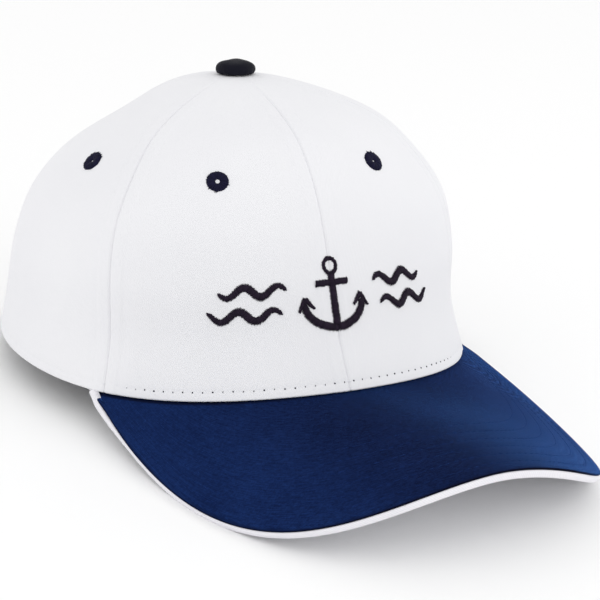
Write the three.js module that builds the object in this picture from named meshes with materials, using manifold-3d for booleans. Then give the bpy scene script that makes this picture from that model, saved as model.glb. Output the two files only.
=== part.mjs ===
// A skipper cap: a crown of six cloth panels with a covered button and sewn eyelets, a sweatband
// inside its rim, and a curved peak with an edging. Millimetres, +Z up.
// The cap faces -Y, the wearer's right is -X, and it stands on the plane z = 0.
// An azimuth is in degrees, 0 at the front, and grows towards the wearer's right.
import * as THREE from "three";
import { mergeVertices } from "three/addons/utils/BufferGeometryUtils.js";
import Module from "manifold-3d";

const wasm = await Module();
wasm.setup();

// Clear gap between pieces that are sewn or pressed together on the real cap.
const GAP = 0.3;
// How far the soft rim and edging give where the cap stands on them.
const SETTLE = 0.5;

// Crown: its height, and its outer radius at the rim at azimuths 0, 60, 120 and 180.
const CROWN_HEIGHT = 107;
const RIM_FRONT = 103;
const RIM_TEMPLE = 94;
const RIM_REAR = 95.5;
const RIM_BACK = 93;
// How far the rim rises at the front, dips at the temples and rises behind the ears, all from the
// level of its back.
const FRONT_RISE = 1;
const TEMPLE_DIP = 4.4;
const REAR_RISE = 2;
// Wall of a panel, and how far the seams are turned towards the wearer's right over the peak.
const PANEL_WALL = 1.5;
const CROWN_TURN = 4.5;

// Sections from the rim to the apex. The height is a share of CROWN_HEIGHT, and each radius is a
// share of the rim's own radius at that azimuth.
const SECTIONS = [
  { height: 0.0, front: 1.0, temple: 1.0, rear: 1.0, back: 1.0 },
  { height: 0.19, front: 0.895, temple: 0.95, rear: 0.965, back: 0.955 },
  { height: 0.38, front: 0.825, temple: 0.95, rear: 0.935, back: 0.935 },
  { height: 0.56, front: 0.75, temple: 0.91, rear: 0.86, back: 0.865 },
  { height: 0.72, front: 0.655, temple: 0.785, rear: 0.715, back: 0.685 },
  { height: 0.855, front: 0.505, temple: 0.61, rear: 0.495, back: 0.465 },
  { height: 0.955, front: 0.26, temple: 0.31, rear: 0.295, back: 0.325 },
  { height: 1.0, front: 0.0, temple: 0.0, rear: 0.0, back: 0.0 },
];

// Panels: the seam at each edge and the eyelet's place, as azimuths before CROWN_TURN.
// An eyelet's row counts sections from the rim.
const PANELS = [
  { name: "front_right", from: 0, to: 57.5, eyelet: 31, eyeletRow: 4 },
  { name: "side_right", from: 57.5, to: 120, eyelet: 76.5, eyeletRow: 4.15 },
  { name: "back_right", from: 120, to: 180, eyelet: 148, eyeletRow: 4.1 },
  { name: "back_left", from: 180, to: 240, eyelet: 212, eyeletRow: 4.1 },
  { name: "side_left", from: 240, to: 302.5, eyelet: 279, eyeletRow: 4.15 },
  { name: "front_left", from: 302.5, to: 360, eyelet: 332, eyeletRow: 4.15 },
];

// Covered button and the post that holds it through the crown.
const BUTTON_RADIUS = 7.9;
const BUTTON_HEIGHT = 5.6;
const BUTTON_POST_RADIUS = 3;
const BUTTON_FOOT_RADIUS = 5;
const BUTTON_FOOT_HEIGHT = 1;

// Sewn eyelet: its hole, the sleeve through the cloth, and its collars outside and inside.
const EYELET_HOLE_RADIUS = 1.1;
const EYELET_SLEEVE_RADIUS = 2.2;
const EYELET_RADIUS = 4.7;
const EYELET_HEIGHT = 1;
const EYELET_INNER_RADIUS = 3.7;
const EYELET_INNER_HEIGHT = 0.7;

// Sweatband.
const BAND_HEIGHT = 32;
const BAND_WALL = 1.4;

// Peak: the azimuth of its ends, its reach from them to its front, and how square its outline is,
// where 2 is an ellipse. It swells sideways past its ends, falls forwards at a slope, arches over
// its middle, and its shoulders hang below that arch.
const PEAK_END = 65.5;
const PEAK_REACH = 151;
const PEAK_SQUARENESS = 2.25;
const PEAK_SWELL = 11.5;
const PEAK_SLOPE = 18.2;
const PEAK_ARCH = 47.5;
const PEAK_SHOULDER = 9;
const PEAK_TOP_WALL = 1.7;
const PEAK_UNDER_WALL = 1.7;
// Edging round the peak: how deep it is from its outer face, and how far it stands over the cloth.
const EDGING_DEPTH = 2;
const EDGING_LIP = 0.1;
// Share of the half outline that the peak's cloths and its edging leave bare at each end.
const CLOTH_END_SHARE = 0.03;
const EDGING_END_SHARE = 0.008;

const PANEL_COLUMNS = 10;
const PANEL_ROWS = 16;
const BAND_COLUMNS = 60;
const BAND_ROWS = 3;
const PEAK_COLUMNS = 32;
const PEAK_ROWS = 6;
const EDGING_COLUMNS = 48;
const ROUND_SEGMENTS = 28;
const EYELET_SEGMENTS = 14;

const LAST_ROW = SECTIONS.length - 1;
const PEAK_THICKNESS = PEAK_TOP_WALL + GAP + PEAK_UNDER_WALL;
const CLOTH_SPAN = 1 - CLOTH_END_SHARE;
const EDGING_SPAN = 1 - EDGING_END_SHARE;
const UP = new THREE.Vector3(0, 0, 1);
const vec = (x, y, z) => new THREE.Vector3(x, y, z);
const radians = THREE.MathUtils.degToRad;
const lerp = THREE.MathUtils.lerp;
const clamp = THREE.MathUtils.clamp;

// Even cosine series in the azimuth through its values at 0, 60, 120 and 180 degrees.
function aroundHead(front, temple, rear, back, azimuth) {
  const mean = (front + 2 * temple + 2 * rear + back) / 6;
  const first = (front + temple - rear - back) / 3;
  const second = (front - temple - rear + back) / 3;
  const third = (front - 2 * temple + 2 * rear - back) / 6;
  const u = radians(azimuth);
  return mean + first * Math.cos(u) + second * Math.cos(2 * u) + third * Math.cos(3 * u);
}

// Catmull-Rom curve up one column of SECTIONS. Past the apex the sections run down again on the
// far side, so heights repeat with side 1 and radii change sign with side -1.
function upCrown(column, side, row) {
  const at = (k) => {
    if (k < 0) return 2 * SECTIONS[0][column] - SECTIONS[1][column];
    if (k > LAST_ROW) return side * SECTIONS[2 * LAST_ROW - k][column];
    return SECTIONS[k][column];
  };
  const k = clamp(Math.floor(row), 0, LAST_ROW - 1);
  const t = row - k;
  const [a, b, c, d] = [at(k - 1), at(k), at(k + 1), at(k + 2)];
  const bend = (2 * a - 5 * b + 4 * c - d) * t * t + (3 * b - a - 3 * c + d) * t ** 3;
  return b + ((c - a) * t + bend) / 2;
}

function crownRadius(azimuth, row) {
  return aroundHead(
    RIM_FRONT * upCrown("front", -1, row),
    RIM_TEMPLE * upCrown("temple", -1, row),
    RIM_REAR * upCrown("rear", -1, row),
    RIM_BACK * upCrown("back", -1, row),
    azimuth,
  );
}

// Point of the crown's outer face. The rim's dip and rises fade out towards the apex.
function crownPoint(azimuth, row) {
  const radius = crownRadius(azimuth, row);
  const share = upCrown("height", 1, row);
  const level = aroundHead(FRONT_RISE, -TEMPLE_DIP, REAR_RISE, 0, azimuth);
  const u = radians(azimuth);
  const z = CROWN_HEIGHT * share + level * (1 - share) ** 2;
  return vec(-radius * Math.sin(u), -radius * Math.cos(u), z);
}

// Outward normal of the crown, from the steps to its neighbours along and up the face.
function crownNormal(azimuth, row) {
  const along = crownPoint(azimuth + 0.5, row).sub(crownPoint(azimuth - 0.5, row));
  const upward = crownPoint(azimuth, row + 0.02).sub(crownPoint(azimuth, row - 0.02));
  return upward.cross(along).normalize();
}

// Point inside the crown's wall, at a depth from its outer face. At the rim the depth is level,
// so that a cut edge lies flat, and it turns square to the face within half a section.
function insideCrown(azimuth, row, depth) {
  const normal = crownNormal(azimuth, row);
  const inward = vec(normal.x, normal.y, normal.z * clamp(row / 0.5, 0, 1)).normalize();
  return crownPoint(azimuth, row).addScaledVector(inward, -depth / inward.dot(normal));
}

// Row, from low to high, at which a quantity that grows with the row reaches a value.
function rowWhere(grows, value) {
  let [low, high] = [0, LAST_ROW];
  for (let halving = 0; halving < 30; halving++) {
    const middle = (low + high) / 2;
    if (grows(middle) < value) low = middle;
    else high = middle;
  }
  return (low + high) / 2;
}

const rowAtRadius = (azimuth, radius) => rowWhere((row) => -crownRadius(azimuth, row), -radius);
const rowAbove = (azimuth, rise) =>
  rowWhere((row) => crownPoint(azimuth, row).z - crownPoint(azimuth, 0).z, rise);

// Outer edge of the peak at a share s of the half outline, from -1 at its left end to 1 at its
// right end: a superellipse that swells sideways, on a slope with an arch and hanging shoulders.
function peakEdge(s) {
  const end = crownPoint(PEAK_END, 0);
  const turn = (s * Math.PI) / 2;
  const power = 2 / PEAK_SQUARENESS;
  const across = Math.sign(s) * Math.abs(Math.sin(turn)) ** power;
  const forward = PEAK_REACH * Math.cos(turn) ** power;
  const bend = across * across;
  const z =
    end.z -
    peakSeat() -
    Math.tan(radians(PEAK_SLOPE)) * forward +
    PEAK_ARCH * (1 - bend) -
    4 * PEAK_SHOULDER * bend * (1 - bend);
  return vec(end.x * across - PEAK_SWELL * Math.sin(2 * turn), end.y - forward, z);
}

// Depth of the peak's middle layer under the rim, with the cloth's slant there allowed for.
function peakSeat() {
  return GAP + PEAK_THICKNESS / 2 / Math.cos(radians(PEAK_SLOPE));
}

// Inner edge of the peak's middle layer, under the inner face of the crown's wall.
function peakRoot(s) {
  return insideCrown(s * PEAK_END, 0, PANEL_WALL).addScaledVector(UP, -peakSeat());
}

// Frame on the peak's outer edge: square to the cloth, and outwards from the edge.
function edgeFrame(s) {
  const step = 0.005;
  const inner = clamp(s, -0.9, 0.9);
  const slant = peakEdge(inner + step).sub(peakEdge(inner - step));
  const square = slant.cross(peakEdge(inner).sub(peakRoot(inner))).normalize();
  const along = peakEdge(s + step).sub(peakEdge(s - step));
  const outward = along.cross(square).normalize();
  return { square, outward: outward.negate() };
}

// Point of the peak at a share across it, from its root to inside its edging, and at a height
// above its middle layer. The thickness is upright at the root and square to the cloth outside.
function peakPoint(s, share, height) {
  const { square, outward } = edgeFrame(s);
  const margin = peakEdge(s).addScaledVector(outward, -(EDGING_DEPTH + GAP));
  const lean = clamp(share / 0.25, 0, 1);
  const direction = UP.clone().lerp(square, lean).normalize();
  return peakRoot(s).lerp(margin, share).addScaledVector(direction, height / direction.dot(square));
}

// Section of the edging: the distance inwards from its outer face, and its height.
function edgingSection() {
  const half = PEAK_THICKNESS / 2 + EDGING_LIP;
  const side = [
    { inwards: EDGING_DEPTH, height: half },
    { inwards: EDGING_DEPTH * 0.35, height: half },
    { inwards: EDGING_DEPTH * 0.08, height: half * 0.62 },
  ];
  const low = side.map(({ inwards, height }) => ({ inwards, height: -height }));
  return [...side, { inwards: 0, height: 0 }, ...low.reverse()];
}

function edgingPoint(s, { inwards, height }) {
  const { square, outward } = edgeFrame(s);
  return peakEdge(s).addScaledVector(outward, -inwards).addScaledVector(square, height);
}

// Evenly spaced values from one number to another.
const spread = (count, from, to) =>
  Array.from({ length: count + 1 }, (_, k) => lerp(from, to, k / count));

// The cap tips back until the underside of its edging and its back rim stand on one plane.
function standingPose() {
  const section = edgingSection();
  const fore = spread(80, -EDGING_SPAN, EDGING_SPAN).flatMap((s) => section.map((p) => edgingPoint(s, p)));
  const aft = spread(40, 120, 240).map((azimuth) => crownPoint(azimuth, 0));
  let tilt = 0;
  const heightOf = (p) => p.y * Math.sin(tilt) + p.z * Math.cos(tilt);
  const lowest = (points) => points.reduce((a, b) => (heightOf(b) < heightOf(a) ? b : a));
  for (let pass = 0; pass < 20; pass++) {
    const front = lowest(fore);
    const back = lowest(aft);
    tilt = Math.atan2(front.z - back.z, back.y - front.y);
  }
  return { tilt, lift: -heightOf(lowest(aft)) - SETTLE };
}
const STAND = standingPose();

// A point of the level cap as the cap stands, with soft edges pressed flat where they touch.
function stand(point) {
  const placed = point.clone().applyAxisAngle(vec(1, 0, 0), STAND.tilt);
  placed.z = Math.max(placed.z + STAND.lift, 0);
  return placed;
}

// A closed geometry from points and triangles, turned so that its faces point outwards.
function closedGeometry(points, triangles) {
  let volume = 0;
  for (const [a, b, c] of triangles) {
    volume += points[a].dot(points[b].clone().cross(points[c]));
  }
  const facing = volume < 0 ? triangles.map(([a, b, c]) => [a, c, b]) : triangles;
  const geometry = new THREE.BufferGeometry();
  geometry.setAttribute("position", new THREE.Float32BufferAttribute(points.flatMap((p) => p.toArray()), 3));
  geometry.setIndex(facing.flat());
  return geometry;
}

// A wall between two faces, each given at shares a along and b up it.
function wallBetween(outer, inner, columns, rows) {
  const face = (point) => spread(columns, 0, 1).flatMap((a) => spread(rows, 0, 1).map((b) => point(a, b)));
  const points = [...face(outer), ...face(inner)];
  const count = (columns + 1) * (rows + 1);
  const at = (column, row, side) => column * (rows + 1) + row + side * count;
  const triangles = [];
  const quad = (a, b, c, d) => triangles.push([a, b, c], [a, c, d]);
  for (let i = 0; i < columns; i++) {
    for (let j = 0; j < rows; j++) {
      quad(at(i, j, 0), at(i + 1, j, 0), at(i + 1, j + 1, 0), at(i, j + 1, 0));
      quad(at(i, j, 1), at(i, j + 1, 1), at(i + 1, j + 1, 1), at(i + 1, j, 1));
    }
    quad(at(i, 0, 1), at(i + 1, 0, 1), at(i + 1, 0, 0), at(i, 0, 0));
    quad(at(i, rows, 0), at(i + 1, rows, 0), at(i + 1, rows, 1), at(i, rows, 1));
  }
  for (let j = 0; j < rows; j++) {
    quad(at(0, j, 0), at(0, j + 1, 0), at(0, j + 1, 1), at(0, j, 1));
    quad(at(columns, j, 1), at(columns, j + 1, 1), at(columns, j + 1, 0), at(columns, j, 0));
  }
  return closedGeometry(points, triangles);
}

// A solid swept through stations, each a closed section of as many points. A loop joins its last
// station to its first, and otherwise each end is closed by a fan.
function sweptSolid(stations, loop) {
  const size = stations[0].length;
  const points = stations.flat();
  const triangles = [];
  const last = loop ? stations.length : stations.length - 1;
  for (let i = 0; i < last; i++) {
    const here = i * size;
    const next = ((i + 1) % stations.length) * size;
    for (let j = 0; j < size; j++) {
      const k = (j + 1) % size;
      triangles.push([here + j, next + j, next + k], [here + j, next + k, here + k]);
    }
  }
  if (!loop) {
    const end = (stations.length - 1) * size;
    for (let j = 1; j < size - 1; j++) {
      triangles.push([0, j, j + 1], [end, end + j + 1, end + j]);
    }
  }
  return closedGeometry(points, triangles);
}

function toSolid(geometry) {
  const bare = geometry.clone();
  bare.deleteAttribute("normal");
  bare.deleteAttribute("uv");
  const merged = mergeVertices(bare, 1e-4);
  return new wasm.Manifold(
    new wasm.Mesh({
      numProp: 3,
      vertProperties: merged.attributes.position.array,
      triVerts: new Uint32Array(merged.index.array),
    }),
  );
}

function toGeometry(solid) {
  const { vertProperties, triVerts } = solid.getMesh();
  const geometry = new THREE.BufferGeometry();
  geometry.setAttribute("position", new THREE.BufferAttribute(vertProperties, 3));
  geometry.setIndex(new THREE.BufferAttribute(triVerts, 1));
  return geometry;
}

// Matrix that sets a turned piece, made about the Y axis from y = 0, on the standing crown.
function seatOnCrown(azimuth, row) {
  const foot = crownPoint(azimuth, row).applyAxisAngle(vec(1, 0, 0), STAND.tilt);
  foot.z += STAND.lift;
  const normal = crownNormal(azimuth, row).applyAxisAngle(vec(1, 0, 0), STAND.tilt);
  const turned = new THREE.Quaternion().setFromUnitVectors(vec(0, 1, 0), normal);
  return new THREE.Matrix4().compose(foot, turned, vec(1, 1, 1));
}

// A crown panel, from the rim to the button's post, with its eyelet's hole.
function panel({ from, to, eyelet, eyeletRow }) {
  const hole = BUTTON_POST_RADIUS + GAP;
  const face = (depth) => (a, b) => {
    const azimuth = lerp(from, to, a) + CROWN_TURN;
    const row = b * rowAtRadius(azimuth, hole);
    const half = THREE.MathUtils.radToDeg(GAP / 2 / crownRadius(azimuth, row));
    return stand(insideCrown(azimuth + lerp(half, -half, a), row, depth));
  };
  const wall = toSolid(wallBetween(face(0), face(PANEL_WALL), PANEL_COLUMNS, PANEL_ROWS));
  const punch = new THREE.CylinderGeometry(
    EYELET_SLEEVE_RADIUS + GAP,
    EYELET_SLEEVE_RADIUS + GAP,
    PANEL_WALL * 6,
    EYELET_SEGMENTS,
  );
  punch.applyMatrix4(seatOnCrown(eyelet + CROWN_TURN, eyeletRow));
  return toGeometry(wall.subtract(toSolid(punch)));
}

// A sewn eyelet: a sleeve through the panel with a domed collar outside and a flat one inside.
function eyeletRing({ eyelet, eyeletRow }) {
  const seat = GAP;
  const inside = -PANEL_WALL - 2 * GAP;
  const top = seat + EYELET_HEIGHT;
  const profile = [
    [EYELET_HOLE_RADIUS, inside - EYELET_INNER_HEIGHT],
    [EYELET_INNER_RADIUS, inside - EYELET_INNER_HEIGHT],
    [EYELET_INNER_RADIUS, inside],
    [EYELET_SLEEVE_RADIUS, inside],
    [EYELET_SLEEVE_RADIUS, seat],
    [EYELET_RADIUS, seat],
    [EYELET_RADIUS, seat + EYELET_HEIGHT * 0.4],
    [lerp(EYELET_HOLE_RADIUS, EYELET_RADIUS, 0.6), top],
    [lerp(EYELET_HOLE_RADIUS, EYELET_RADIUS, 0.2), seat + EYELET_HEIGHT * 0.85],
    [EYELET_HOLE_RADIUS, seat + EYELET_HEIGHT * 0.3],
    [EYELET_HOLE_RADIUS, inside - EYELET_INNER_HEIGHT],
  ];
  const ring = new THREE.LatheGeometry(profile.map(([r, y]) => new THREE.Vector2(r, y)), EYELET_SEGMENTS);
  ring.applyMatrix4(seatOnCrown(eyelet + CROWN_TURN, eyeletRow));
  return ring;
}

// The covered button: a flattened dome, and under it the post with its foot inside the crown.
function button() {
  const seat = GAP;
  const foot = -PANEL_WALL - 2 * GAP;
  const shoulder = seat + BUTTON_HEIGHT * 0.42;
  const dome = spread(5, 0, 90).map((angle) => [
    BUTTON_RADIUS * Math.cos(radians(angle)) ** 0.8,
    shoulder + (BUTTON_HEIGHT - shoulder + seat) * Math.sin(radians(angle)),
  ]);
  dome[dome.length - 1][0] = 0;
  const profile = [
    [0, foot - BUTTON_FOOT_HEIGHT],
    [BUTTON_FOOT_RADIUS, foot - BUTTON_FOOT_HEIGHT],
    [BUTTON_FOOT_RADIUS, foot],
    [BUTTON_POST_RADIUS, foot],
    [BUTTON_POST_RADIUS, seat],
    [BUTTON_RADIUS * 0.88, seat],
    [BUTTON_RADIUS * 0.98, seat + BUTTON_HEIGHT * 0.16],
    ...dome,
  ];
  const body = new THREE.LatheGeometry(profile.map(([r, y]) => new THREE.Vector2(r, y)), ROUND_SEGMENTS);
  body.applyMatrix4(seatOnCrown(0, LAST_ROW - 1e-3));
  return body;
}

// The sweatband lies inside the rim. Behind the peak it reaches down past the peak's root.
function sweatband() {
  const face = PANEL_WALL + GAP;
  const rampHalf = 4;
  const stations = spread(BAND_COLUMNS, 0, 360)
    .slice(0, -1)
    .map((azimuth) => {
      const fromFront = Math.min(azimuth, 360 - azimuth);
      const behindPeak = clamp((PEAK_END + rampHalf - fromFront) / (2 * rampHalf), 0, 1);
      const side = (depth) =>
        spread(BAND_ROWS, 0, 1).map((share) => {
          const point = insideCrown(azimuth, rowAbove(azimuth, share * BAND_HEIGHT), depth);
          const drop = share === 0 ? behindPeak * (GAP + PEAK_THICKNESS) : 0;
          return stand(point.addScaledVector(UP, -drop));
        });
      return [...side(face), ...side(face + BAND_WALL).reverse()];
    });
  return sweptSolid(stations, true);
}

// One cloth of the peak, between two heights over its middle layer.
function peakCloth(low, high) {
  const at = (height) => (a, b) => stand(peakPoint(lerp(-CLOTH_SPAN, CLOTH_SPAN, a), b, height));
  return wallBetween(at(high), at(low), PEAK_COLUMNS, PEAK_ROWS);
}

function peakEdging() {
  const section = edgingSection();
  const stations = spread(EDGING_COLUMNS, -EDGING_SPAN, EDGING_SPAN).map((s) =>
    section.map((p) => stand(edgingPoint(s, p))),
  );
  return sweptSolid(stations, false);
}

const cloth = (color) => new THREE.MeshStandardMaterial({ color, roughness: 0.9, metalness: 0 });
const WHITE_COTTON = cloth(0xedeef1);
const WHITE_EDGING = cloth(0xe6e8ee);
const NAVY_COTTON = cloth(0x16295c);
const NAVY_THREAD = cloth(0x1a1f3d);
const NAVY_COVER = cloth(0x10162e);

const cap = new THREE.Group();

function add(name, geometry, material) {
  const mesh = new THREE.Mesh(geometry, material);
  mesh.name = name;
  cap.add(mesh);
}

for (const piece of PANELS) {
  add("panel_" + piece.name, panel(piece), WHITE_COTTON);
  add("eyelet_" + piece.name, eyeletRing(piece), NAVY_THREAD);
}
add("top_button", button(), NAVY_COVER);
add("sweatband", sweatband(), WHITE_COTTON);
add("peak_top", peakCloth(GAP / 2, PEAK_THICKNESS / 2), NAVY_COTTON);
add("peak_under", peakCloth(-PEAK_THICKNESS / 2, -GAP / 2), WHITE_COTTON);
add("peak_edging", peakEdging(), WHITE_EDGING);

// The origin is on the floor at the middle of the standing cap's length.
const length = new THREE.Box3().setFromObject(cap);
cap.position.y = -(length.min.y + length.max.y) / 2;

export default cap;
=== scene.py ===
"""The looks of the skipper cap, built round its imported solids.

The cap faces -Y, the wearer's right is -X, and it stands on z = 0. Shapes are worked out in
millimetres on the level cap, stood up as the cap stands, and turned to metres at the end.
An azimuth is in degrees, 0 at the front, and grows towards the wearer's right. A row counts the
crown's sections from its rim. On the peak, s runs from -1 at the wearer's left end to 1 at the
right end, and a share runs from its root to its edging.
"""
import math

import bpy
import numpy as np
from mathutils import Matrix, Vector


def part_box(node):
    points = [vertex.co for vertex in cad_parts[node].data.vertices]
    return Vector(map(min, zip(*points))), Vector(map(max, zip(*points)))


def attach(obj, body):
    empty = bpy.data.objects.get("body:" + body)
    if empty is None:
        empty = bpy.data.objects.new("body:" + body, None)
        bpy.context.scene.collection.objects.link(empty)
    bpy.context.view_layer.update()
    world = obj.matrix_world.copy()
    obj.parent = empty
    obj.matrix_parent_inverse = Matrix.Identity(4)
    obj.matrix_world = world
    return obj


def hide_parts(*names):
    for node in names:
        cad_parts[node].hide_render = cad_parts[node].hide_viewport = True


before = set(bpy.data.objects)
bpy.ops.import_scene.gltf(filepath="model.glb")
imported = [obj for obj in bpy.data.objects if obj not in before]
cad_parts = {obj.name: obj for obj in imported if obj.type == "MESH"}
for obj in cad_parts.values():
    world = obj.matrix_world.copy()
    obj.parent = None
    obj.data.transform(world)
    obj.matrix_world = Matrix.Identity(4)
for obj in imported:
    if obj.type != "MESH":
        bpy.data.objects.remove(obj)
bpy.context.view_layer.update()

# Named sizes of the cap, in millimetres and degrees, the same as the solids'.
GAP = 0.3
CROWN_HEIGHT = 107
RIM_RADII = (103, 94, 95.5, 93)
RIM_LEVELS = (1, -4.4, 2, 0)
CROWN_TURN = 4.5
PANEL_WALL = 1.5
# Shares of the crown's height and of the rim's radii at each section, from the rim to the apex.
SECTIONS = {
    "height": (0, 0.19, 0.38, 0.56, 0.72, 0.855, 0.955, 1),
    "front": (1, 0.895, 0.825, 0.75, 0.655, 0.505, 0.26, 0),
    "temple": (1, 0.95, 0.95, 0.91, 0.785, 0.61, 0.31, 0),
    "rear": (1, 0.965, 0.935, 0.86, 0.715, 0.495, 0.295, 0),
    "back": (1, 0.955, 0.935, 0.865, 0.685, 0.465, 0.325, 0),
}
PEAK_END = 65.5
PEAK_REACH = 151
PEAK_SQUARENESS = 2.25
PEAK_SWELL = 11.5
PEAK_SLOPE = 18.2
PEAK_ARCH = 47.5
PEAK_SHOULDER = 9
PEAK_THICKNESS = 3.7
EDGING_DEPTH = 2
EDGING_LIP = 0.1
EDGING_SPAN = 1 - 0.008
SETTLE = 0.5
UP = np.array([0.0, 0.0, 1.0])


def around_head(values, azimuth):
    """Even cosine series in the azimuth through its values at 0, 60, 120 and 180 degrees."""
    front, temple, rear, back = values
    turn = np.radians(azimuth)
    mean = (front + 2 * temple + 2 * rear + back) / 6
    first = (front + temple - rear - back) / 3
    second = (front - temple - rear + back) / 3
    third = (front - 2 * temple + 2 * rear - back) / 6
    return mean + first * np.cos(turn) + second * np.cos(2 * turn) + third * np.cos(3 * turn)


def up_crown(column, side, row):
    """Catmull-Rom curve through one column of SECTIONS. Past the apex the sections run down the
    far side, so heights repeat with side 1 and radii change sign with side -1."""
    values = np.array(SECTIONS[column], float)
    last = len(values) - 1
    knots = np.concatenate([[2 * values[0] - values[1]], values, [side * values[-2]]])
    cell = np.clip(np.floor(row), 0, last - 1).astype(int)
    t = row - cell
    a, b, c, d = (knots[cell + k] for k in range(4))
    bend = (2 * a - 5 * b + 4 * c - d) * t * t + (3 * b - a - 3 * c + d) * t**3
    return b + ((c - a) * t + bend) / 2


def crown_radius(azimuth, row):
    """Radius of the crown's outer face: the rim's radii times their shares at that row."""
    columns = ("front", "temple", "rear", "back")
    values = [radius * up_crown(name, -1, row) for radius, name in zip(RIM_RADII, columns)]
    return around_head(values, azimuth)


def crown_point(azimuth, row):
    """Outer face of the level crown. The rim's levels fade with the square of what is left to climb."""
    azimuth, row = np.broadcast_arrays(np.asarray(azimuth, float), np.asarray(row, float))
    radius = crown_radius(azimuth, row)
    share = up_crown("height", 1, row)
    turn = np.radians(azimuth)
    z = CROWN_HEIGHT * share + around_head(RIM_LEVELS, azimuth) * (1 - share) ** 2
    return np.stack([-radius * np.sin(turn), -radius * np.cos(turn), z], axis=-1)


def unit(vectors):
    """Vectors of length one."""
    return vectors / np.linalg.norm(vectors, axis=-1, keepdims=True)


TURN_STEP = 0.5
ROW_STEP = 0.02


def crown_normal(azimuth, row):
    """Outward normal of the crown: the step up its face across the step along it."""
    sideways = crown_point(azimuth + TURN_STEP, row) - crown_point(azimuth - TURN_STEP, row)
    upward = crown_point(azimuth, row + ROW_STEP) - crown_point(azimuth, row - ROW_STEP)
    return unit(np.cross(upward, sideways))


LEVEL_ROWS = 0.5


def in_crown(azimuth, row, depth):
    """Point at a depth inside the crown's outer face: level at the rim, square to the face higher up."""
    azimuth, row, depth = np.broadcast_arrays(*(np.asarray(v, float) for v in (azimuth, row, depth)))
    normal = crown_normal(azimuth, row)
    inward = normal.copy()
    inward[..., 2] *= np.clip(row / LEVEL_ROWS, 0, 1)
    inward = unit(inward)
    reach = depth / np.sum(inward * normal, axis=-1)
    return crown_point(azimuth, row) - inward * reach[..., None]


def peak_seat():
    """Depth of the peak's middle layer under the rim."""
    return GAP + PEAK_THICKNESS / 2 / math.cos(math.radians(PEAK_SLOPE))


def peak_edge(s):
    """Outer edge of the peak: a superellipse that swells sideways, on a slope with an arch and
    hanging shoulders."""
    end = crown_point(PEAK_END, 0)
    turn = s * np.pi / 2
    power = 2 / PEAK_SQUARENESS
    across = np.sign(s) * np.abs(np.sin(turn)) ** power
    forward = PEAK_REACH * np.clip(np.cos(turn), 0, None) ** power
    bend = across**2
    fall = math.tan(math.radians(PEAK_SLOPE)) * forward
    z = end[2] - peak_seat() - fall + PEAK_ARCH * (1 - bend) - 4 * PEAK_SHOULDER * bend * (1 - bend)
    return np.stack([end[0] * across - PEAK_SWELL * np.sin(2 * turn), end[1] - forward, z], axis=-1)


def peak_root(s):
    """Inner edge of the peak's middle layer, under the inner face of the crown's wall."""
    return in_crown(s * PEAK_END, 0, PANEL_WALL) - UP * peak_seat()


EDGE_STEP = 0.005
SQUARE_END = 0.9
OUTWARD_END = 0.995


def edge_frame(s):
    """Square to the peak's cloth at its edge, and outwards from the edge. Past the last place where
    the edge can be measured, each keeps its direction."""
    inner = np.clip(s, -SQUARE_END, SQUARE_END)
    slant = peak_edge(inner + EDGE_STEP) - peak_edge(inner - EDGE_STEP)
    square = unit(np.cross(slant, peak_edge(inner) - peak_root(inner)))
    place = np.clip(s, -OUTWARD_END, OUTWARD_END)
    outward = unit(np.cross(peak_edge(place + EDGE_STEP) - peak_edge(place - EDGE_STEP), square))
    return square, -outward


LEAN_SHARE = 0.25


def peak_point(s, share, height):
    """The peak from its root to inside its edging, at a height over its middle layer."""
    s, share, height = np.broadcast_arrays(*(np.asarray(v, float) for v in (s, share, height)))
    square, outward = edge_frame(s)
    margin = peak_edge(s) - outward * (EDGING_DEPTH + GAP)
    lean = np.clip(share / LEAN_SHARE, 0, 1)[..., None]
    direction = unit(UP * (1 - lean) + square * lean)
    middle = peak_root(s) * (1 - share[..., None]) + margin * share[..., None]
    return middle + direction * (height / np.sum(direction * square, axis=-1))[..., None]


def edging_point(s, inwards, height):
    """The edging at a distance inwards from its outer face, and at a height over its middle."""
    s, inwards, height = np.broadcast_arrays(*(np.asarray(v, float) for v in (s, inwards, height)))
    square, outward = edge_frame(s)
    return peak_edge(s) - outward * inwards[..., None] + square * height[..., None]


# Half of the edging's section, from its inner side to its nose, as shares of its depth and height.
EDGING_INWARDS = np.array([1, 0.35, 0.08, 0])
EDGING_HEIGHTS = np.array([1, 1, 0.62, 0])


def standing_pose():
    """How the level cap stands: its tilt about the X axis, its lift and its move along its length.
    It tips back until the underside of its edging and its back rim lie on one plane, and the
    front of its edging is where the solid's is."""
    half = PEAK_THICKNESS / 2 + EDGING_LIP
    inwards = EDGING_DEPTH * EDGING_INWARDS
    height = half * EDGING_HEIGHTS
    across = np.linspace(-EDGING_SPAN, EDGING_SPAN, 81)[:, None]
    fore = edging_point(across, inwards, -height).reshape(-1, 3)
    aft = crown_point(np.linspace(120, 240, 41), 0)
    tilt = 0.0
    for _ in range(20):
        front, back = (
            points[np.argmin(points[:, 1] * math.sin(tilt) + points[:, 2] * math.cos(tilt))]
            for points in (fore, aft)
        )
        tilt = math.atan2(front[2] - back[2], back[1] - front[1])
    lift = -np.min(aft[:, 1] * math.sin(tilt) + aft[:, 2] * math.cos(tilt)) - SETTLE
    tip = edging_point(0.0, np.tile(inwards, 2), np.concatenate([height, -height]))
    front = np.min(tip[:, 1] * math.cos(tilt) - tip[:, 2] * math.sin(tilt))
    return tilt, lift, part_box("peak_edging")[0][1] * 1000 - front


STAND_TILT, STAND_LIFT, STAND_SHIFT = standing_pose()


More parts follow.
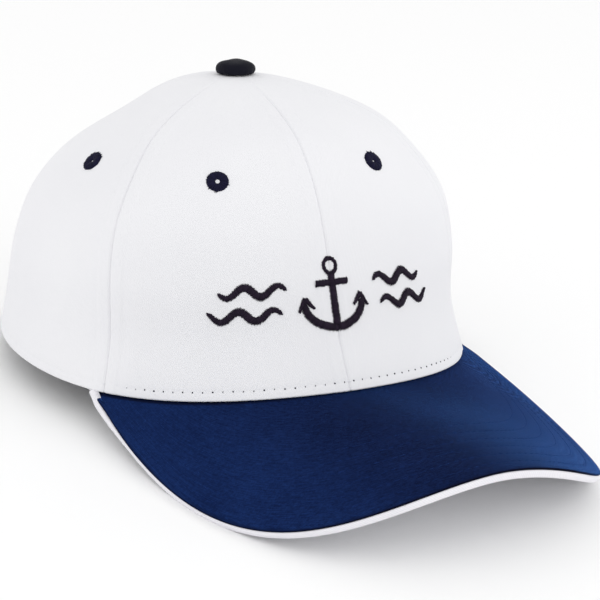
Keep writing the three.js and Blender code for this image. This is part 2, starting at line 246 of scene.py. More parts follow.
def turned(vectors):
    """Directions of the level cap as the cap stands."""
    y = vectors[..., 1] * math.cos(STAND_TILT) - vectors[..., 2] * math.sin(STAND_TILT)
    z = vectors[..., 1] * math.sin(STAND_TILT) + vectors[..., 2] * math.cos(STAND_TILT)
    return np.stack([vectors[..., 0], y, z], axis=-1)


def stand(points):
    """Points of the level cap as the cap stands, with its soft edges pressed flat on the floor."""
    placed = turned(points) + np.array([0, STAND_SHIFT, STAND_LIFT])
    placed[..., 2] = np.maximum(placed[..., 2], 0)
    return placed


def smooth_step(low, high, value):
    """0 below low and 1 above high, with a soft rise between."""
    t = np.clip((value - low) / (high - low), 0, 1)
    return t * t * (3 - 2 * t)


def build(name, parts, material, node=None, shade=None):
    """One object from parts of (points in mm, quads, uv in mm), turned so that its faces point
    outwards. A shade for each point is kept as the attribute of that name."""
    points, quads, uvs, count = [], [], [], 0
    for part_points, part_quads, part_uv in parts:
        a, b, c, d = (part_points[part_quads[:, k]] for k in range(4))
        volume = np.sum(a * np.cross(b, c)) + np.sum(a * np.cross(c, d))
        facing = part_quads if volume > 0 else part_quads[:, ::-1]
        points.append(part_points)
        quads.append(facing + count)
        uvs.append(part_uv)
        count += len(part_points)
    points, quads, uvs = np.concatenate(points) / 1000, np.concatenate(quads), np.concatenate(uvs)
    mesh = bpy.data.meshes.new(name)
    mesh.vertices.add(len(points))
    mesh.vertices.foreach_set("co", points.astype(np.float32).ravel())
    mesh.loops.add(quads.size)
    mesh.loops.foreach_set("vertex_index", quads.astype(np.int32).ravel())
    mesh.polygons.add(len(quads))
    mesh.polygons.foreach_set("loop_start", np.arange(0, quads.size, 4, dtype=np.int32))
    mesh.update(calc_edges=True)
    layer = mesh.uv_layers.new(name="cloth")
    layer.data.foreach_set("uv", uvs[quads.ravel()].astype(np.float32).ravel())
    mesh.polygons.foreach_set("use_smooth", np.ones(len(quads), bool))
    if shade is not None:
        attribute = mesh.attributes.new("shade", "FLOAT", "POINT")
        attribute.data.foreach_set("value", shade.astype(np.float32).ravel())
    mesh.validate()
    mesh.materials.append(material)
    piece = bpy.data.objects.new(name, mesh)
    bpy.context.collection.objects.link(piece)
    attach(piece, "root")
    if node:
        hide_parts(node)


def skin(stations, uv, ring=False):
    """A closed skin over stations, each a loop of as many points. A ring joins its last station
    to its first, and otherwise each end is closed by strips across its loop."""
    across, around = stations.shape[:2]
    index = np.arange(across * around).reshape(across, around)
    here = index if ring else index[:-1]
    after = np.roll(index, -1, axis=0) if ring else index[1:]
    here_next, after_next = np.roll(here, -1, axis=1), np.roll(after, -1, axis=1)
    quads = [np.stack([here, after, after_next, here_next], axis=-1).reshape(-1, 4)]
    if not ring:
        half = np.arange(around // 2 - 1)
        for end, step in ((index[0], 1), (index[-1], -1)):
            other = around - 1 - half
            strip = np.stack([end[half], end[half + 1], end[other - 1], end[other]], axis=-1)
            quads.append(strip[:, ::step])
    return stations.reshape(-1, 3), np.concatenate(quads), uv.reshape(-1, 2)


THREAD_SIDES = 6
THREAD_STEPS = 6
THREAD_FLATNESS = 0.85


def threads(starts, ends, normals, radius, lift, tone):
    """Short threads, each a tapered tube on an arch from its start to its end. The arch rises by
    lift along the normal, as 4t(1-t) of the share t of its length. Each thread's u is its tone."""
    count = len(starts)
    t = np.linspace(0, 1, THREAD_STEPS)[None, :, None]
    starts, ends, normals = (value[:, None, :] for value in (starts, ends, normals))
    lift = np.broadcast_to(np.asarray(lift, float), count)[:, None, None]
    centre = starts * (1 - t) + ends * t + normals * lift * 4 * t * (1 - t)
    side = unit(np.cross(ends - starts, normals))
    taper = np.sqrt(np.clip(1 - (2 * t - 1) ** 4, 0.02, 1))
    angle = np.arange(THREAD_SIDES) / THREAD_SIDES * 2 * np.pi
    raised = normals[:, :, None] * (THREAD_FLATNESS * np.sin(angle))[:, None]
    ring = side[:, :, None] * np.cos(angle)[:, None] + raised
    thickness = np.broadcast_to(np.asarray(radius, float), count)[:, None, None]
    points = centre[:, :, None] + ring * (thickness * taper)[..., None]
    index = np.arange(points.size // 3).reshape(count, THREAD_STEPS, THREAD_SIDES)
    here, after = index[:, :-1], index[:, 1:]
    wall = np.stack([here, after, np.roll(after, -1, axis=2), np.roll(here, -1, axis=2)], axis=-1)
    first, last = index[:, 0], index[:, -1]
    caps = [first[:, [0, 1, 2, 3]], first[:, [0, 3, 4, 5]], last[:, [3, 2, 1, 0]], last[:, [5, 4, 3, 0]]]
    quads = np.concatenate([wall.reshape(-1, 4)] + caps)
    length = np.linalg.norm(ends - starts, axis=-1)
    u = np.broadcast_to(np.reshape(tone, (-1, 1, 1)), points.shape[:3])
    v = np.broadcast_to((t[..., 0] * length)[..., None], points.shape[:3])
    return points.reshape(-1, 3), quads, np.stack([u, v], axis=-1).reshape(-1, 2)


def along(points, pitch):
    """Places every pitch along a polyline, as parts of its index."""
    lengths = np.linalg.norm(np.diff(points, axis=0), axis=1)
    run = np.concatenate([[0], np.cumsum(lengths)])
    count = max(int(round(run[-1] / pitch)), 1)
    return np.interp(np.linspace(0, run[-1], count + 1), run, np.arange(len(points)))


# Each panel's first and last azimuth and its eyelet's azimuth and row, before the crown's turn.
PANELS = {
    "front_right": (0, 57.5, 31, 4),
    "side_right": (57.5, 120, 76.5, 4.15),
    "back_right": (120, 180, 148, 4.1),
    "back_left": (180, 240, 212, 4.1),
    "side_left": (240, 302.5, 279, 4.15),
    "front_left": (302.5, 360, 332, 4.15),
}
SEAM_AZIMUTHS = CROWN_TURN + np.array([start for start, _, _, _ in PANELS.values()])
EYELET_PLACES = np.array([crown_point(place + CROWN_TURN, row) for _, _, place, row in PANELS.values()])
STITCH_RISE = 3.4
STITCH_LENGTH = 3.9
RIM_AZIMUTHS = np.linspace(0, 360, 1441)


def rise_of(azimuth, row):
    """Height of a crown point over the rim below it."""
    return crown_point(azimuth, row)[..., 2] - crown_point(azimuth, 0)[..., 2]


def row_above(azimuth, rise):
    """Row at a height over the rim: the height's share of the crown, corrected three times for the
    rim's level."""
    level = around_head(RIM_LEVELS, azimuth)
    share = rise / CROWN_HEIGHT
    for _ in range(3):
        share = (rise + level * (1 - (1 - share) ** 2)) / CROWN_HEIGHT
    rows = np.linspace(0, 6, 601)
    return np.interp(share, up_crown("height", 1, rows), rows)


RIM_POINTS = crown_point(RIM_AZIMUTHS, row_above(RIM_AZIMUTHS, STITCH_RISE))
RIM_RUN = np.concatenate([[0], np.cumsum(np.linalg.norm(np.diff(RIM_POINTS, axis=0), axis=1))])
STITCH_COUNT = int(round(RIM_RUN[-1] / STITCH_LENGTH))
STITCH_PITCH = RIM_RUN[-1] / STITCH_COUNT


def seam_distance(azimuth, row):
    """Distance along the crown's face to its nearest seam."""
    apart = (azimuth[..., None] - SEAM_AZIMUTHS + 180) % 360 - 180
    return crown_radius(azimuth, row) * np.radians(np.abs(apart).min(axis=-1))


VALLEY_DEPTH = 0.55
VALLEY_WIDTH = 0.55
ALLOWANCE = 0.3
RIM_GROOVE = 0.1
RIM_GROOVE_WIDTH = 0.7
PUCKER = 0.06
PUCKER_WIDTH = 2.4
DIMPLE = 0.3
DIMPLE_WIDTH = 5.5
WAVES_IN_FRONT = 0.12
WAVES_GROWTH = 0.28


def cloth_relief(azimuth, row):
    """How far the sewn cloth stands off the plain crown: a narrow valley at each seam with the
    pressed allowance beside it, a groove along the rim's stitches that puckers between them, a
    dimple at each eyelet, and long soft waves that are weaker in front."""
    azimuth, row = np.broadcast_arrays(np.asarray(azimuth, float), np.asarray(row, float))
    seam = seam_distance(azimuth, row)
    rise = rise_of(azimuth, row)
    turn = np.radians(azimuth)
    valley = -VALLEY_DEPTH * np.exp(-((seam / VALLEY_WIDTH) ** 2)) * (1 - 0.8 * smooth_step(5.7, 6.4, row))
    allowance = ALLOWANCE * (1 - smooth_step(4.4, 6.2, seam)) * (1 - smooth_step(5.4, 6.4, row))
    near_stitches = np.exp(-(((rise - STITCH_RISE) / PUCKER_WIDTH) ** 2))
    groove = -RIM_GROOVE * np.exp(-(((rise - STITCH_RISE) / RIM_GROOVE_WIDTH) ** 2))
    run = np.interp(azimuth % 360, RIM_AZIMUTHS, RIM_RUN)
    pucker = PUCKER * near_stitches * np.cos(2 * np.pi * run / STITCH_PITCH)
    place = crown_point(azimuth, row)
    apart = np.linalg.norm(place[..., None, :] - EYELET_PLACES, axis=-1).min(axis=-1)
    dimple = -DIMPLE * np.exp(-((apart / DIMPLE_WIDTH) ** 2))
    softness = WAVES_IN_FRONT + WAVES_GROWTH * smooth_step(-0.2, 0.8, -np.cos(turn))
    waves = np.sin(3.3 * turn + 1.1 * row + 0.6) * np.sin(0.9 * row + 1.7 * np.sin(turn + 0.8))
    ripples = 0.45 * np.sin(7.1 * turn - 1.9 * row) * np.sin(1.6 * row + 2.2 * np.cos(2 * turn))
    soft = softness * (waves + ripples) * smooth_step(0, 1.2, row) * (1 - smooth_step(5.8, 6.8, row))
    return valley + allowance + groove + pucker + dimple + soft


def on_crown(azimuth, row, over=0.0):
    """A place on the finished cloth of the crown, at a height over it, and its outward normal."""
    azimuth, row = np.broadcast_arrays(np.asarray(azimuth, float), np.asarray(row, float))
    place = in_crown(azimuth, row, -cloth_relief(azimuth, row) - over)
    return place, crown_normal(azimuth, row)


RIM_ROUND = 0.75
FIRST_SECTION_RISE = 20.5
PANEL_COLUMNS = 129
PANEL_MIDDLE = 30


def panel(name, start, stop, material):
    """A crown panel: a wall between rows, with the relief on its outer face and a rounded lower
    edge. Its columns lie closer by the seams, as 0.35t + 0.65(1-cos(pi t))/2."""
    t = np.linspace(0, 1, PANEL_COLUMNS)
    columns = 0.35 * t + 0.65 * (1 - np.cos(np.pi * t)) / 2
    azimuth = (start + (stop - start) * columns + CROWN_TURN)[:, None]
    low = RIM_ROUND / FIRST_SECTION_RISE
    rows = np.concatenate([np.linspace(low, 0.42, 18), np.linspace(0.46, 6.9, 68)])
    angle = np.radians([-75, -45, -15, 15, 45, 75])
    row = np.concatenate([rows[::-1], low * (1 - np.cos(angle)), rows])
    outer = np.concatenate([0 * rows, (1 + np.sin(angle)) / 2, 0 * rows + 1])
    depth = PANEL_WALL * (1 - outer) - outer * cloth_relief(azimuth, row)
    wall = in_crown(azimuth, row, depth)
    steps = np.linalg.norm(np.diff(crown_point(start + PANEL_MIDDLE, rows), axis=0), axis=1)
    run = np.interp(row, rows, np.concatenate([[0], np.cumsum(steps)]))
    u = crown_radius(azimuth, row) * np.radians(azimuth - azimuth.mean())
    uv = np.stack([u, np.broadcast_to(run, u.shape)], axis=-1)
    part = skin(stand(wall), uv)
    build("crown_cloth_" + name, [part], material, "panel_" + name)


BAND_HEIGHT = 32
BAND_HALF_WALL = 0.7
BAND_CLEARANCE = 0.15
BAND_EASE = 0.12
BAND_RADIUS = 93
BAND_FACES_APART = 40


def sweatband(material):
    """The band inside the rim: a flat loop with rounded edges, carried round the head. Behind the
    peak its lower edge reaches down past the peak's root."""
    azimuth = np.linspace(0, 360, 361)[:-1][:, None]
    share = np.concatenate([[0, 0.012], np.linspace(0.04, 0.96, 14), [0.988, 1]])
    bulge = np.concatenate([[0.35, 0.8], np.ones(14), [0.8, 0.35]])
    share = np.concatenate([share, share[::-1]])
    side = np.concatenate([-bulge, bulge[::-1]])
    rise = BAND_HEIGHT * share
    face = PANEL_WALL + BAND_CLEARANCE
    turn = np.radians(azimuth)
    ease = BAND_EASE * np.sin(23 * turn) * np.sin(np.pi * share)
    depth = face + BAND_HALF_WALL + BAND_HALF_WALL * side + ease
    band = in_crown(azimuth, row_above(azimuth, rise), depth)
    from_front = np.minimum(azimuth, 360 - azimuth)
    behind_peak = np.clip((PEAK_END + 4 - from_front) / 8, 0, 1)
    drop = behind_peak * (GAP + PEAK_THICKNESS) * (1 - smooth_step(0, 0.3, share))
    band = band - UP * drop[..., None]
    run = np.broadcast_to(BAND_RADIUS * turn, depth.shape)
    across = np.broadcast_to(rise + BAND_FACES_APART * (side > 0), depth.shape)
    uv = np.stack([run, across], axis=-1)
    build("sweatband_cloth", [skin(stand(band), uv, ring=True)], material, "sweatband")


PEAK_ROWS = (5.5, 13, 20.5, 28, 35.5, 43)
TOP_HEIGHT = PEAK_THICKNESS / 2
ROW_GROOVE = 0.03
ROW_GROOVE_WIDTH = 0.8
UNEVENNESS = 0.1


def peak_width(s):
    """Distance from the peak's root to the inner side of its edging."""
    return np.linalg.norm(peak_point(s, 1, 0) - peak_point(s, 0, 0), axis=-1)


def peak_relief(s, share):
    """How far the peak's upper cloth stands off its plain face: a groove along each row of
    stitches, and a slight unevenness."""
    width = peak_width(s)
    inward = (1 - share) * width
    grooves = sum(
        np.exp(-(((inward - place) / ROW_GROOVE_WIDTH) ** 2)) * smooth_step(place + 2, place + 8, width)
        for place in PEAK_ROWS
    )
    uneven = UNEVENNESS * np.sin(9 * s + 4 * share) * np.sin(5 * share + 7 * s * s) * np.sin(np.pi * share)
    return -ROW_GROOVE * grooves + uneven


CLOTH_END = 0.997
CLOTH_SINK = 0.8
SINK_START = 0.955
TAPE_TURN = 89.8
TAPE_TOP = 1.0
TAPE_INNER = EDGING_DEPTH + 0.25
TAPE_ROUND = 0.8
TAPE_FLARE = 1.1
TAPE_RISE = 1.6
RISE_START = 0.985
LIP_INSET = 0.3
LIP_ROUND = 0.45
LIP_STEPS = 11


def flare(s):
    """How far the tape's face stands out near its ends, where it is drawn up over the rim."""
    return TAPE_FLARE * smooth_step(0.86, 0.99, np.abs(s))


def lip(s):
    """The upper cloth's rolled edge: out over the tape, round its end, and back under itself."""
    angle = np.radians(np.linspace(90, -60, 9))
    crest = TOP_HEIGHT + 0.05 - LIP_ROUND
    rounding = LIP_INSET + LIP_ROUND * (1 - np.cos(angle))
    inwards = np.concatenate([[1.9, 1.3], rounding, np.linspace(0.8, TAPE_INNER, LIP_STEPS)])
    rolling = crest + LIP_ROUND * np.sin(angle)
    returning = np.full(LIP_STEPS, TAPE_TOP + 0.06)
    height = np.concatenate([[TOP_HEIGHT, TOP_HEIGHT + 0.03], rolling, returning])
    return edging_point(s, inwards + 0.4 * flare(s), height)


def peak_cloth(name, top, material, node):
    """A cloth of the peak, as a flat loop from its root to its outer edge, carried across it. The
    upper cloth has the relief and a rolled edge, and its ends sink under the tape. Its edges and
    the strip along the rim are in shade."""
    s = np.linspace(-CLOTH_END, CLOTH_END, 321)[:, None]
    share = np.concatenate([np.linspace(0, 0.05, 12), np.linspace(0.063, 1, 70)])
    count = len(share)
    shares = np.concatenate([share, share[::-1]])
    outer = np.concatenate([np.ones(count), np.zeros(count)])
    face = TOP_HEIGHT + (peak_relief(s, shares) if top else 0)
    height = outer * face + (1 - outer) * GAP / 2
    cloth = peak_point(s, shares, height if top else -height)
    width = peak_width(s)
    v = np.broadcast_to(width * (1 - shares), cloth.shape[:2])
    shade = (1 - smooth_step(1.6, 2.6, width * shares)) * (0.15 + 0.6 * smooth_step(-0.1, 0.6, s))
    shade = np.maximum(shade, smooth_step(CLOTH_END - 0.012, CLOTH_END, np.abs(s)))
    if top:
        rolled = lip(s)
        edge_shade = np.concatenate([np.linspace(0, 1, 7), np.ones(15)])
        edge_shade = np.broadcast_to(edge_shade, rolled.shape[:2])
        under = -np.concatenate([np.linspace(0, 2.6, LIP_STEPS), np.linspace(2.6, 4, LIP_STEPS)])
        under = np.broadcast_to(under, rolled.shape[:2])
        cloth = np.concatenate([cloth[:, :count], rolled, cloth[:, count:]], axis=1)
        shade = np.concatenate([shade[:, :count], edge_shade, shade[:, count:]], axis=1)
        v = np.concatenate([v[:, :count], under, v[:, count:]], axis=1)
    uv = np.stack([cloth[..., 0], v], axis=-1)
    if top:
        cloth = cloth - UP * (CLOTH_SINK * smooth_step(SINK_START, CLOTH_END, np.abs(s)))[..., None]
    build(name, [skin(stand(cloth), uv)], material, node, shade)


def peak_edging(material):
    """The edging: a loop of folded tape round the peak's outer edge, with a rounded face under
    the upper cloth's lip. Its stations are spaced as a sine, and its ends rise into the rim."""
    s = np.sin(np.radians(np.linspace(-TAPE_TURN, TAPE_TURN, 441)))[:, None]
    angle = np.radians(np.linspace(90, -90, 19))
    foot = TOP_HEIGHT + EDGING_LIP
    middle, half = (TAPE_TOP - foot) / 2, (TAPE_TOP + foot) / 2
    inwards = TAPE_ROUND * (1 - np.clip(np.cos(angle), 0, None) ** 0.7)
    height = middle + half * np.sign(np.sin(angle)) * np.abs(np.sin(angle)) ** 0.8
    inwards = np.concatenate([[TAPE_INNER, TAPE_INNER], inwards, [TAPE_INNER]])
    height = np.concatenate([[middle, TAPE_TOP], height, [-foot]])
    rise = TAPE_RISE * smooth_step(RISE_START, 1.0, np.abs(s))
    flared = inwards - flare(s) * (1 - inwards / TAPE_INNER)
    tape = edging_point(s, flared, height) + UP * rise[..., None]
    edge = peak_edge(s[:, 0])
    run = np.concatenate([[0], np.cumsum(np.linalg.norm(np.diff(edge, axis=0), axis=1))])
    around = np.concatenate([[0], np.cumsum(np.hypot(np.diff(inwards), np.diff(height)))])
    uv = np.stack(np.broadcast_arrays(run[:, None], around), axis=-1)
    build("peak_edging_tape", [skin(stand(tape), uv)], material, "peak_edging")


def frame_on(normal):
    """Two directions square to a normal and to each other."""
    first = unit(np.cross(normal, np.array([0.3, 1.0, 0.2])))
    return first, np.cross(normal, first)


BUTTON_FOLDS = 17
BUTTON_SIDES = 96
APEX_ROW = 6.999


def button(material):
    """The covered button: a flattened dome turned about the crown's axis, whose cover is gathered
    in shallow folds under its edge."""
    profile = np.array([
        (1.5, -0.25), (5.2, -0.2), (6.7, 0.0), (7.5, 0.3), (7.85, 0.8),
        (7.97, 1.5), (7.95, 2.2), (7.75, 2.95), (7.35, 3.6), (6.75, 4.2),
        (5.8, 4.7), (4.5, 5.08), (2.9, 5.32), (1.3, 5.42), (0.25, 5.45),
    ])
    fine = np.linspace(0, len(profile) - 1, 43)
    radius = np.interp(fine, np.arange(len(profile)), profile[:, 0])[:, None]
    height = np.interp(fine, np.arange(len(profile)), profile[:, 1])[:, None]
    angle = np.arange(BUTTON_SIDES) / BUTTON_SIDES * 2 * np.pi
    gathers = np.exp(-(((height - 0.9) / 0.9) ** 2)) * np.sin(BUTTON_FOLDS * angle + 0.7 * np.sin(3 * angle))
    lumps = np.sin(2 * angle + 0.5) * 0.1 + np.sin(6 * angle + height) * 0.09
    radius = radius * (1 + 0.012 * gathers) + lumps * np.clip(radius / 8, 0, 1)
    height = height + 0.2 * np.sin(3 * angle + 1) * smooth_step(1, 4, height) * np.clip(radius / 4, 0, 1)
    normal = crown_normal(0.0, APEX_ROW)
    first, second = frame_on(normal)
    foot = crown_point(0.0, APEX_ROW)
    ring = radius[..., None] * (np.cos(angle)[:, None] * first + np.sin(angle)[:, None] * second)
    dome = foot + ring + height[..., None] * normal
    uv = np.stack([radius * np.cos(angle), radius * np.sin(angle)], axis=-1)
    build("button_cover", [skin(stand(dome), uv)], material, "top_button")


EYELET_THREADS = 52
EYELET_REACH = 4.45
EYELET_THREAD_RADIUS = 0.3
EYELET_HOLES = {"front_right": 0.85, "back_left": 0.8}
NARROW_HOLE = 0.35


def eyelet(name, azimuth, row, hole, material, random):
    """A sewn eyelet: a low ring of padding under radial threads, whose outer ends are ragged."""
    foot, normal = on_crown(azimuth + CROWN_TURN, row)
    first, second = frame_on(normal)
    around = np.arange(60) / 60 * 2 * np.pi
    across = np.arange(12) / 12 * 2 * np.pi
    radius = (4.3 + hole) / 2 + 0.1 + (4.1 - hole) / 2 * np.cos(across)
    height = 0.1 + 0.5 * np.sin(across)
    spoke = np.cos(around)[:, None] * first + np.sin(around)[:, None] * second
    padding = foot + spoke[:, None] * radius[:, None] + height[:, None] * normal
    count = EYELET_THREADS
    angle = (np.arange(count) + random.uniform(-0.2, 0.2, count)) / count * 2 * np.pi
    spokes = np.cos(angle)[:, None] * first + np.sin(angle)[:, None] * second
    inner = foot + spokes * hole + normal * 0.1
    ragged = 0.3 + 0.35 * smooth_step(-0.2, 0.8, np.sin(angle + random.uniform(0, 6)))
    reach = EYELET_REACH + ragged * random.uniform(-1, 1, count)
    outer = foot + spokes * reach[:, None] + normal * 0.02
    lift = random.uniform(0.52, 0.68, count)
    tone = random.uniform(0, 1, count)
    normals = turned(np.tile(normal, (count, 1)))
    satin = threads(stand(inner), stand(outer), normals, EYELET_THREAD_RADIUS, lift, tone)
    ring = skin(stand(padding), np.zeros((60, 12, 2)) + 0.3, ring=True)
    build("eyelet_satin_" + name, [ring, satin], material, "eyelet_" + name)


RIM_THREAD_RADIUS = 0.15
RIM_STITCH_SINK = 0.06
HOLE_RADIUS = 0.33
LEAST_HOLE = 0.3


def rim_stitches(material, hole_material, random):
    """The row that holds the band: white stitches sunk along the rim, and dark marks of painted shade
    in the needle's holes between them. The marks fade away from the front, and the faintest are left out."""
    run = np.arange(STITCH_COUNT) * STITCH_PITCH
    azimuth = np.interp(run, RIM_RUN, RIM_AZIMUTHS)
    half = np.interp(run + STITCH_PITCH * 0.5, RIM_RUN, RIM_AZIMUTHS) - azimuth
    rise = STITCH_RISE + random.uniform(-0.12, 0.12, STITCH_COUNT)
    starts, normals = on_crown(azimuth - half * 0.8, row_above(azimuth, rise), -RIM_STITCH_SINK)
    ends, _ = on_crown(azimuth + half * 0.8, row_above(azimuth, rise), -RIM_STITCH_SINK)
    tone = random.uniform(0, 1, STITCH_COUNT)
    part = threads(stand(starts), stand(ends), turned(normals), RIM_THREAD_RADIUS, RIM_STITCH_SINK, tone)
    build("rim_stitches", [part], material)
    # Painted shade: each needle hole is a dark mark laid on the cloth, fainter away from the front.
    middle = azimuth + half
    from_front = np.abs((middle + 180) % 360 - 180)
    right_side = middle % 360 < 180
    fade = 1 - 0.9 * smooth_step(50 - 26 * ~right_side, 60 - 22 * ~right_side, from_front)
    size = random.uniform(0.12, 0.34, STITCH_COUNT) * fade
    shown = fade > LEAST_HOLE
    middle, rise, size, fade = middle[shown], rise[shown], size[shown], fade[shown]
    places, normals = on_crown(middle, row_above(middle, rise), 0.05)
    sideways = unit(np.cross(normals, UP))
    starts, ends = places - sideways * size[:, None], places + sideways * size[:, None]
    radius = HOLE_RADIUS * (0.3 + 0.7 * fade)
    tone = random.uniform(0, 1, len(middle))
    holes = threads(stand(starts), stand(ends), turned(normals), radius, 0.0, tone)
    build("needle_hole_painted_shade", [holes], hole_material)


PEAK_STITCH = 3.3
PEAK_STITCH_GAP = 0.08
PEAK_STITCH_SINK = 0.06
PEAK_THREAD_RADIUS = 0.15
PEAK_THREAD_LIFT = 0.04


def peak_stitches(material, random):
    """Rows of stitches sunk into the peak, each at one distance inside the edging."""
    parts = []
    for place in PEAK_ROWS:
        s = np.linspace(-CLOTH_END, CLOTH_END, 1601)
        width = peak_width(s)
        s = s[width > place + 5]
        share = 1 - place / peak_width(s)
        line = peak_point(s, share, TOP_HEIGHT)
        knots = along(line, PEAK_STITCH)
        index = np.arange(len(s))
        gap = PEAK_STITCH_GAP * np.diff(knots)
        starts, ends = knots[:-1] + gap, knots[1:] - gap

        def lay(where):
            at_s = np.interp(where, index, s)
            at_share = 1 - place / peak_width(at_s)
            height = TOP_HEIGHT + peak_relief(at_s, at_share) - PEAK_STITCH_SINK
            return peak_point(at_s, at_share, height)

        square, _ = edge_frame(np.interp((starts + ends) / 2, index, s))
        tone = random.uniform(0, 1, len(starts))
        ends_of = stand(lay(starts)), stand(lay(ends))
        parts.append(threads(*ends_of, turned(square), PEAK_THREAD_RADIUS, PEAK_THREAD_LIFT, tone))
    build("peak_stitch_rows", parts, material)


MOTIF_AZIMUTH = CROWN_TURN
MOTIF_RISE = 34
SATIN_PITCH = 0.36
SATIN_SLANT = 0.16
SATIN_RADIUS = 0.27


def on_front(x, y):
    """A place of the motif, x towards the wearer's left and y up from its middle, as azimuth and row."""
    middle = row_above(MOTIF_AZIMUTH, MOTIF_RISE)
    azimuth = MOTIF_AZIMUTH - np.degrees(x / crown_radius(MOTIF_AZIMUTH, middle))
    return azimuth, row_above(MOTIF_AZIMUTH, MOTIF_RISE + y)


def stroke(points, widths, random):
    """A satin stroke: threads across a line, one pitch apart, as wide as the line is there, with
    ragged ends. Their arch makes the stroke round."""
    points = np.asarray(points, float)
    knots = along(points, SATIN_PITCH)
    index = np.arange(len(points))
    centre = np.stack([np.interp(knots, index, points[:, k]) for k in (0, 1)], axis=-1)
    width = np.interp(knots, index, np.broadcast_to(widths, len(points)))
    heading = unit(np.gradient(centre, axis=0))
    across = np.stack([-heading[:, 1], heading[:, 0]], axis=-1)
    slant = SATIN_SLANT * heading
    reach = [(width / 2 + random.uniform(-0.14, 0.2, len(width)))[:, None] for _ in range(2)]
    left = centre + (across + slant) * reach[0]
    right = centre - (across + slant) * reach[1]
    starts, normals = on_crown(*on_front(left[:, 0], left[:, 1]), 0.02)
    ends, _ = on_crown(*on_front(right[:, 0], right[:, 1]), 0.02)
    lift = 0.28 + 0.1 * width
    tone = random.uniform(0, 1, len(width))
    return threads(stand(starts), stand(ends), turned(normals), SATIN_RADIUS, lift, tone)


def curve(x, y, count=60):
    """A smooth line through a few points: the polynomial that meets them at even steps."""
    x, y = np.asarray(x, float), np.asarray(y, float)
    knots = np.linspace(0, 1, len(x))
    t = np.linspace(0, 1, count)
    basis = np.polynomial.chebyshev.chebvander
    order = len(x) - 1
    solve = np.linalg.solve(basis(2 * knots - 1, order), np.stack([x, y], axis=-1))
    return basis(2 * t - 1, order) @ solve


def front_motif(material, random):
    """A plain anchor between two pairs of waves, in satin stitch over the front seam."""
    turn = np.linspace(0, 2 * np.pi, 40)
    ring = np.stack([2.7 * np.sin(turn), 10.6 + 2.7 * np.cos(turn)], axis=-1)
    parts = [
        stroke(ring, 1.7, random),
        stroke([(0, 7.6), (0, -10.5)], (3.2, 3.4), random),
        stroke([(-6.8, 4.6), (6.8, 4.6)], (2.6, 2.6), random),
        stroke(curve((-11.6, -9.2, 0, 9.2, 11.6), (-2.6, -8.2, -11.6, -8.2, -2.6)), 3.2, random),
    ]
    for side in (-1, 1):
        for x, y in ((14.4, -5.0), (8.4, -4.2)):
            parts.append(stroke([(side * x, y), (side * 11.8, -0.6)], (1.2, 2.4), random))
    for side in (-1, 1):
        for level, start, stop in ((3.4, 19, 45), (-5.2, 21, 49)):
            x = np.linspace(start, stop, 60)
            wave = level + 1.9 * np.sin((x - start) / 13 * 2 * np.pi)
            ends = np.sin(np.linspace(0, np.pi, 60)) ** 0.4
            parts.append(stroke(np.stack([side * x, wave], axis=-1), 0.6 + 2.6 * ends, random))
    build("front_motif_satin", parts, material)


class Value:
    """One socket of a shader. Arithmetic on it adds Math nodes."""

    def __init__(self, graph, socket):
        self.graph = graph
        self.socket = socket

    def __add__(self, other):
        return self.graph.math("ADD", self, other)

    def __sub__(self, other):
        return self.graph.math("SUBTRACT", self, other)

    def __rsub__(self, other):
        return self.graph.math("SUBTRACT", other, self)

    def __mul__(self, other):
        return self.graph.math("MULTIPLY", self, other)

    def __pow__(self, other):
        return self.graph.math("POWER", self, other)

    __radd__ = __add__
    __rmul__ = __mul__


